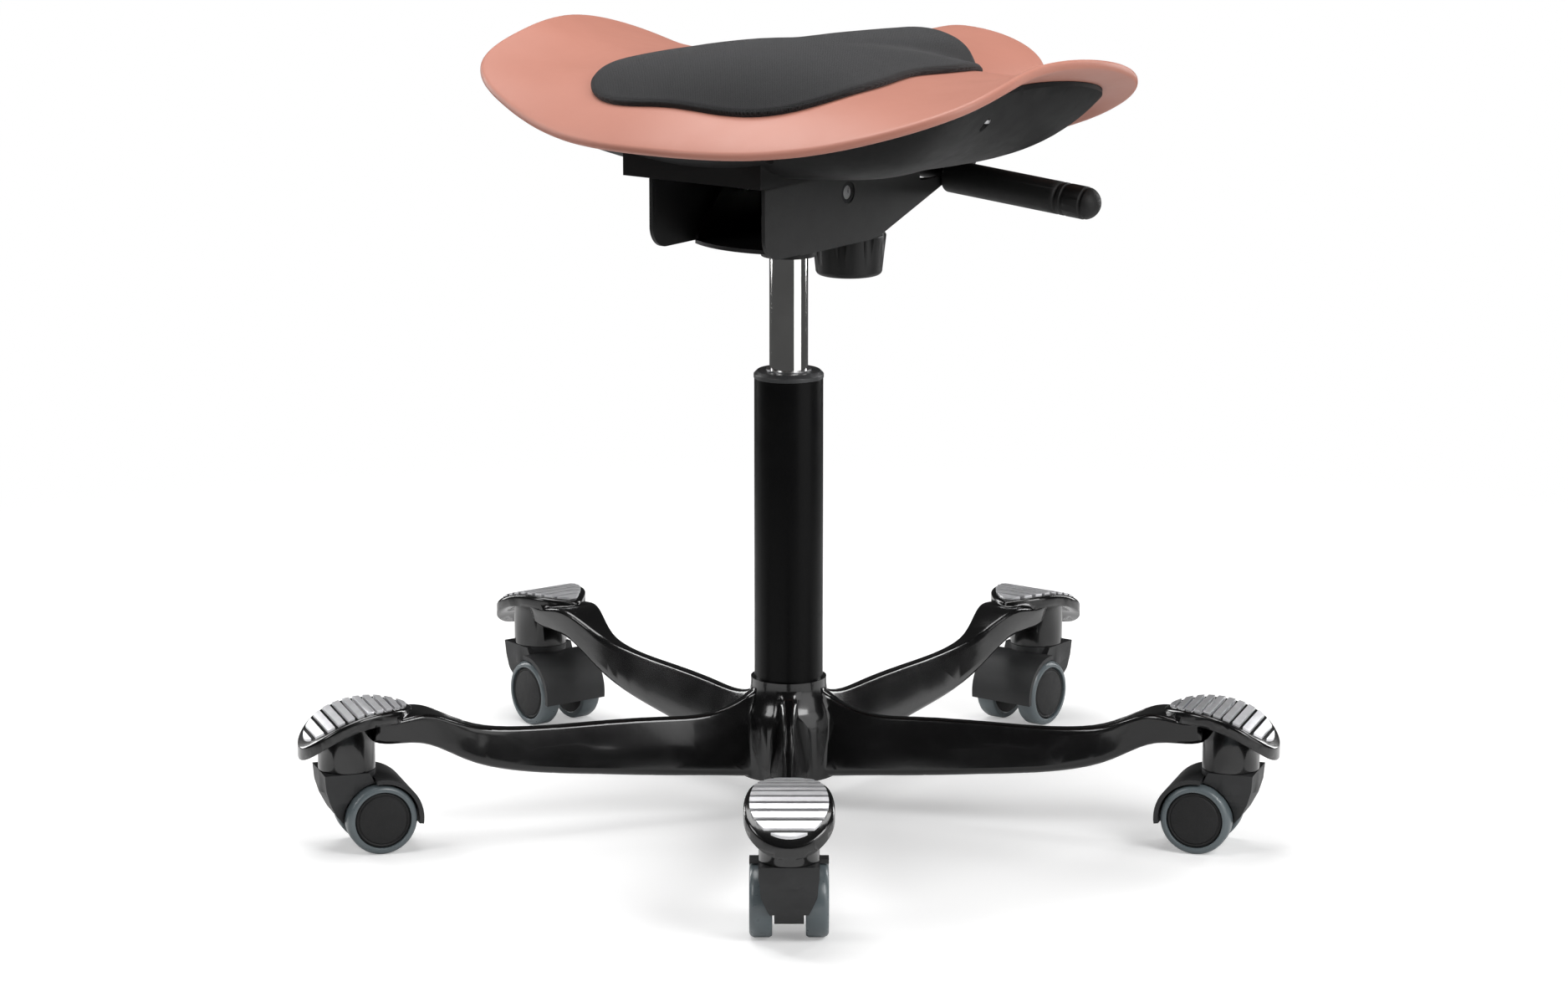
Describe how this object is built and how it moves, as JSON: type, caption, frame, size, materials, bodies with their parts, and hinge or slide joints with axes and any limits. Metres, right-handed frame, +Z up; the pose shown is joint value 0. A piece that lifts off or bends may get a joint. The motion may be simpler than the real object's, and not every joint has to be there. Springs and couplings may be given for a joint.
{
  "type": "saddle stool",
  "caption": "Height adjustable saddle stool with a winged seat shell, pad, tilt mechanism, gas column and five-leg caster base.",
  "frame": {"origin": "on the floor, under the column's axis", "axes": "+Z up; one leg points along -Y; the seat's nose points 54 degrees from +X towards +Y at rest"},
  "size_m": [0.7, 0.6691, 0.5671],
  "materials": {
    "shell": "matte terracotta pink",
    "pad": "fine charcoal weave",
    "black_plastic": "matte black",
    "bush_plastic": "black sliding plastic",
    "steel": "zinc plated steel",
    "black_steel": "semi gloss black powder coat",
    "gloss_steel": "gloss black",
    "chrome": "bright chrome",
    "base": "die cast, gloss black paint",
    "polished": "bare satin",
    "nylon": "dark grey nylon",
    "tread": "soft blue grey tread"
  },
  "bodies": {
    "base": {"star_base": "base", "foot_ribs": "polished", "column_tube": "black_steel", "guide_bush": "black_plastic", "column_collar": "black_plastic", "thrust_bearing": "steel"},
    "gas_rod": {"piston_rod": "steel"},
    "mechanism": {"gas_cylinder": "chrome", "cone_socket": "black_steel", "lower_channel": "black_steel", "tilt_pins": "steel", "tension_spring": "steel"},
    "seat": {"seat_shell": "shell", "seat_pad": "pad", "under_tray": "black_plastic", "tray_screws": "steel", "seat_bracket": "black_steel", "bracket_bolts": "steel", "tilt_bushes": "bush_plastic"},
    "tilt_lock": {"tilt_lock_loop": "gloss_steel"},
    "height_lever": {"height_lever": "black_steel", "lever_grip": "black_plastic"},
    "release_pin": {"release_pin": "steel"},
    "tension_knob": {"tension_knob": "black_plastic"},
    "tension_plate": {"tension_plate": "steel"},
    "caster_1": {"caster_1_housing": "nylon", "caster_1_stem": "steel", "caster_1_axle": "steel"},
    "caster_1_left": {"caster_1_wheel_left": "nylon", "caster_1_tread_left": "tread"},
    "caster_1_right": {"caster_1_wheel_right": "nylon", "caster_1_tread_right": "tread"},
    "caster_2": {"caster_2_housing": "nylon", "caster_2_stem": "steel", "caster_2_axle": "steel"},
    "caster_2_left": {"caster_2_wheel_left": "nylon", "caster_2_tread_left": "tread"},
    "caster_2_right": {"caster_2_wheel_right": "nylon", "caster_2_tread_right": "tread"},
    "caster_3": {"caster_3_housing": "nylon", "caster_3_stem": "steel", "caster_3_axle": "steel"},
    "caster_3_left": {"caster_3_wheel_left": "nylon", "caster_3_tread_left": "tread"},
    "caster_3_right": {"caster_3_wheel_right": "nylon", "caster_3_tread_right": "tread"},
    "caster_4": {"caster_4_housing": "nylon", "caster_4_stem": "steel", "caster_4_axle": "steel"},
    "caster_4_left": {"caster_4_wheel_left": "nylon", "caster_4_tread_left": "tread"},
    "caster_4_right": {"caster_4_wheel_right": "nylon", "caster_4_tread_right": "tread"},
    "caster_5": {"caster_5_housing": "nylon", "caster_5_stem": "steel", "caster_5_axle": "steel"},
    "caster_5_left": {"caster_5_wheel_left": "nylon", "caster_5_tread_left": "tread"},
    "caster_5_right": {"caster_5_wheel_right": "nylon", "caster_5_tread_right": "tread"}
  },
  "joints": [
    {"name": "seat_swivel", "type": "hinge", "parent": "base", "child": "gas_rod", "pos_m": [0, 0, 0.043], "axis": [0, 0, 1], "continuous": true},
    {"name": "seat_height", "type": "slide", "parent": "gas_rod", "child": "mechanism", "axis": [0, 0, 1], "range_m": [-0.075, 0.115]},
    {"name": "seat_tilt", "type": "hinge", "parent": "mechanism", "child": "seat", "pos_m": [0.00118, 0.00162, 0.462], "axis": [-0.809, 0.5878, 0], "range_deg": [-8, 3], "stiffness_Nm_per_rad": 220},
    {"name": "tilt_lock_pull", "type": "slide", "parent": "seat", "child": "tilt_lock", "axis": [0.809, -0.5878, 0], "range_m": [0, 0.008]},
    {"name": "lever_lift", "type": "hinge", "parent": "mechanism", "child": "height_lever", "pos_m": [0.02103, -0.01528, 0.461], "axis": [-0.5878, -0.809, 0], "range_deg": [0, 6], "stiffness_Nm_per_rad": 3, "springref_deg": -5.73},
    {"name": "release_pin_slide", "type": "slide", "parent": "mechanism", "child": "release_pin", "axis": [0, 0, 1], "range_m": [-0.003, 0]},
    {"name": "knob_turn", "type": "hinge", "parent": "mechanism", "child": "tension_knob", "pos_m": [0.04408, 0.06068, 0.4], "axis": [0, 0, 1], "range_deg": [-720, 720]},
    {"name": "plate_slide", "type": "slide", "parent": "mechanism", "child": "tension_plate", "axis": [0, 0, 1], "range_m": [-0.0026, 0.0026], "deforming": ["tension_spring"]},
    {"name": "caster_1_swivel", "type": "hinge", "parent": "base", "child": "caster_1", "pos_m": [0, -0.3315, 0.06], "axis": [0, 0, 1], "continuous": true},
    {"name": "caster_1_left_roll", "type": "hinge", "parent": "caster_1", "child": "caster_1_left", "pos_m": [0, -0.3115, 0.0254], "axis": [1, 0, 0], "continuous": true},
    {"name": "caster_1_right_roll", "type": "hinge", "parent": "caster_1", "child": "caster_1_right", "pos_m": [0, -0.3115, 0.0254], "axis": [1, 0, 0], "continuous": true},
    {"name": "caster_2_swivel", "type": "hinge", "parent": "base", "child": "caster_2", "pos_m": [0.31528, -0.10244, 0.06], "axis": [0, 0, 1], "continuous": true},
    {"name": "caster_2_left_roll", "type": "hinge", "parent": "caster_2", "child": "caster_2_left", "pos_m": [0.29625, -0.09626, 0.0254], "axis": [0.309, 0.9511, 0], "continuous": true},
    {"name": "caster_2_right_roll", "type": "hinge", "parent": "caster_2", "child": "caster_2_right", "pos_m": [0.29625, -0.09626, 0.0254], "axis": [0.309, 0.9511, 0], "continuous": true},
    {"name": "caster_3_swivel", "type": "hinge", "parent": "base", "child": "caster_3", "pos_m": [0.19485, 0.26819, 0.06], "axis": [0, 0, 1], "continuous": true},
    {"name": "caster_3_left_roll", "type": "hinge", "parent": "caster_3", "child": "caster_3_left", "pos_m": [0.1831, 0.25201, 0.0254], "axis": [-0.809, 0.5878, 0], "continuous": true},
    {"name": "caster_3_right_roll", "type": "hinge", "parent": "caster_3", "child": "caster_3_right", "pos_m": [0.1831, 0.25201, 0.0254], "axis": [-0.809, 0.5878, 0], "continuous": true},
    {"name": "caster_4_swivel", "type": "hinge", "parent": "base", "child": "caster_4", "pos_m": [-0.19485, 0.26819, 0.06], "axis": [0, 0, 1], "continuous": true},
    {"name": "caster_4_left_roll", "type": "hinge", "parent": "caster_4", "child": "caster_4_left", "pos_m": [-0.1831, 0.25201, 0.0254], "axis": [-0.809, -0.5878, 0], "continuous": true},
    {"name": "caster_4_right_roll", "type": "hinge", "parent": "caster_4", "child": "caster_4_right", "pos_m": [-0.1831, 0.25201, 0.0254], "axis": [-0.809, -0.5878, 0], "continuous": true},
    {"name": "caster_5_swivel", "type": "hinge", "parent": "base", "child": "caster_5", "pos_m": [-0.31528, -0.10244, 0.06], "axis": [0, 0, 1], "continuous": true},
    {"name": "caster_5_left_roll", "type": "hinge", "parent": "caster_5", "child": "caster_5_left", "pos_m": [-0.29625, -0.09626, 0.0254], "axis": [0.309, -0.9511, 0], "continuous": true},
    {"name": "caster_5_right_roll", "type": "hinge", "parent": "caster_5", "child": "caster_5_right", "pos_m": [-0.29625, -0.09626, 0.0254], "axis": [0.309, -0.9511, 0], "continuous": true}
  ],
  "couplings": [
    {"joint": "release_pin_slide", "follows": "lever_lift", "m_per_rad": -0.026},
    {"joint": "plate_slide", "follows": "knob_turn", "m_per_rad": 0.00019894}
  ]
}
